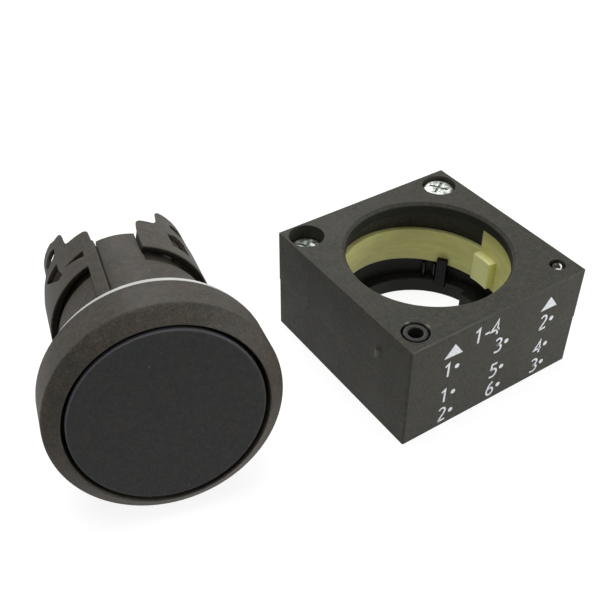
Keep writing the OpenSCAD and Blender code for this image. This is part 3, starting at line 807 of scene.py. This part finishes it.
def turn_bush():
    """The bush, in place of the CAD's, and the flash round it."""
    low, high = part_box("locating_bush")
    middle = box_middle("locating_bush")
    half = (high - low).z / 2 / MM
    section = rounded_section(BUSH_HOLE, BUSH_RADIUS, -half, half - BUSH_LOWER, BUSH_ROUND)
    sleeve = turned_ring("bush_sleeve", "bush", section, middle, UPWARD, BUSH_SIDES)
    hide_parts("locating_bush")
    flash = rounded_section(
        FLASH_INNER, FLASH_OUTER, half - FLASH_HEIGHT, half - FLASH_LOWER, FLASH_ROUND
    )
    turned_ring("bush_hole_flash", "case", flash, middle, UPWARD, BUSH_SIDES)


# The return spring, from its seat on the web forward to the button, along the head's axis. Steps
# are the rings of corners in one turn
SPRING_LENGTH = 17 * MM
SPRING_SEAT_DEPTH = 18.55 * MM
SPRING_RADIUS = 5.4 * MM
SPRING_WIRE = 0.8 * MM
SPRING_TURNS = 8
SPRING_STEPS = 36
WIRE_SIDES = 12


def spring_height(turn):
    """Height of the wire's middle above the seat, with one closed turn at each end."""
    rise = SPRING_LENGTH - SPRING_WIRE
    if turn < 1:
        return SPRING_WIRE * turn
    if turn > SPRING_TURNS - 1:
        return rise - SPRING_WIRE * (SPRING_TURNS - turn)
    return SPRING_WIRE + (rise - 2 * SPRING_WIRE) * (turn - 1) / (SPRING_TURNS - 2)


def wind_spring():
    """A round-wire coil with ground end turns, in place of the CAD's coarse one."""
    front, back, side, other = head_axes()
    seat = front + back * SPRING_SEAT_DEPTH
    mesh = bmesh.new()
    rings = []
    for i in range(SPRING_TURNS * SPRING_STEPS + 1):
        turn = i / SPRING_STEPS
        angle = 2 * math.pi * turn
        outward = side * math.cos(angle) + other * math.sin(angle)
        middle = seat + outward * SPRING_RADIUS - back * (SPRING_WIRE / 2 + spring_height(turn))
        ring = []
        for j in range(WIRE_SIDES):
            roll = 2 * math.pi * j / WIRE_SIDES
            offset = outward * math.cos(roll) + back * math.sin(roll)
            ring.append(mesh.verts.new(middle + offset * SPRING_WIRE / 2))
        rings.append(ring)
    skin(mesh, rings)
    bmesh.ops.recalc_face_normals(mesh, faces=mesh.faces)
    coil = new_piece("return_coil", mesh, "spring_wire")
    coil.data.shade_smooth()
    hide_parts("return_spring")
    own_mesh(coil)


def aim(obj, target):
    """Turns a lamp to face a target."""
    obj.rotation_euler = (Vector(target) - obj.location).to_track_quat("-Z", "Y").to_euler()


def add_camera():
    """The camera, where the photograph's was."""
    data = bpy.data.cameras.new("camera")
    data.lens = CAMERA_LENS
    data.sensor_width = SENSOR_WIDTH
    data.clip_start = CAMERA_NEAR
    camera = bpy.data.objects.new("camera", data)
    camera.location = CAMERA_PLACE
    camera.rotation_euler = Euler([math.radians(turn) for turn in CAMERA_TURN])
    bpy.context.scene.collection.objects.link(camera)
    bpy.context.scene.camera = camera


def add_softbox(name, place, target, size, watts):
    """A round soft lamp, aimed at a target."""
    data = bpy.data.lights.new(name, "AREA")
    data.shape = "DISK"
    data.size = size
    data.energy = watts
    lamp = bpy.data.objects.new(name, data)
    lamp.location = place
    aim(lamp, target)
    bpy.context.scene.collection.objects.link(lamp)


def seen_directly(tree):
    """1 for camera, glossy and transmission rays, else 0."""
    path = tree.nodes.new("ShaderNodeLightPath")
    total = None
    for name in ("Is Camera Ray", "Is Glossy Ray", "Is Transmission Ray"):
        if total is None:
            total = path.outputs[name]
            continue
        either = tree.nodes.new("ShaderNodeMath")
        either.operation = "MAXIMUM"
        tree.links.new(total, either.inputs[0])
        tree.links.new(path.outputs[name], either.inputs[1])
        total = either.outputs[0]
    return total


def light_world(level):
    """A world that lights at a level, and is white to the camera and to gloss."""
    world = bpy.data.worlds.new("studio")
    bpy.context.scene.world = world
    world.use_nodes = True
    tree = world.node_tree
    lit = tree.nodes["Background"]
    lit.inputs["Color"].default_value = grey(1)
    lit.inputs["Strength"].default_value = level
    white = tree.nodes.new("ShaderNodeBackground")
    white.inputs["Color"].default_value = grey(1)
    white.inputs["Strength"].default_value = 1
    mix = tree.nodes.new("ShaderNodeMixShader")
    tree.links.new(seen_directly(tree), mix.inputs[0])
    tree.links.new(lit.outputs[0], mix.inputs[1])
    tree.links.new(white.outputs[0], mix.inputs[2])
    tree.links.new(mix.outputs[0], tree.nodes["World Output"].inputs[0])


# The floor: half its side in metres, the grey that it bounces, and, where it is seen directly, the
# grey that takes the shadow and the white glow added to it
FLOOR_HALF = 1.5
FLOOR_BOUNCE = 0.8
FLOOR_SHOWN = 0.26
FLOOR_GLOW = 0.86


def add_floor():
    """A white floor that keeps the object's soft shadow."""
    half = FLOOR_HALF
    data = bpy.data.meshes.new("floor")
    corners = [(-half, -half, 0), (half, -half, 0), (half, half, 0), (-half, half, 0)]
    data.from_pydata(corners, [], [(0, 1, 2, 3)])
    floor = bpy.data.objects.new("floor", data)
    bpy.context.scene.collection.objects.link(floor)
    material = bpy.data.materials.new("floor")
    material.use_nodes = True
    tree = material.node_tree
    tree.nodes.remove(tree.nodes["Principled BSDF"])
    bounce = tree.nodes.new("ShaderNodeBsdfDiffuse")
    bounce.inputs["Color"].default_value = grey(FLOOR_BOUNCE)
    shown = tree.nodes.new("ShaderNodeBsdfDiffuse")
    shown.inputs["Color"].default_value = grey(FLOOR_SHOWN)
    white = tree.nodes.new("ShaderNodeEmission")
    white.inputs["Strength"].default_value = FLOOR_GLOW
    both = tree.nodes.new("ShaderNodeAddShader")
    tree.links.new(shown.outputs[0], both.inputs[0])
    tree.links.new(white.outputs[0], both.inputs[1])
    mix = tree.nodes.new("ShaderNodeMixShader")
    tree.links.new(seen_directly(tree), mix.inputs[0])
    tree.links.new(bounce.outputs[0], mix.inputs[1])
    tree.links.new(both.outputs[0], mix.inputs[2])
    tree.links.new(mix.outputs[0], tree.nodes["Material Output"].inputs[0])
    floor.data.materials.append(material)


# The lamps point at a place between the two halves. Each has its offset from there in mm, its size
# in metres and its watts
LAMP_TARGET = Vector((-25, 0, 8)) * MM
LAMPS = {
    "top_softbox": ((-20, 50, 380), 0.32, 0.8),
    "right_softbox": ((300, -280, 80), 0.24, 1.0),
    "back_softbox": ((120, 320, 240), 0.2, 0.5),
}
WORLD_LEVEL = 0.25


def add_lamps():
    """Soft light from above, from the right and from behind."""
    for name, (offset, size, watts) in LAMPS.items():
        add_softbox(name, LAMP_TARGET + Vector(offset) * MM, LAMP_TARGET, size, watts)


add_camera()
light_world(WORLD_LEVEL)
add_floor()
add_lamps()
finish_cad_nodes()
smooth_cad_nodes()
print_marks()
add_tongues()
mould_gasket()
turn_bush()
wind_spring()

bpy.context.scene.view_settings.view_transform = "Standard"
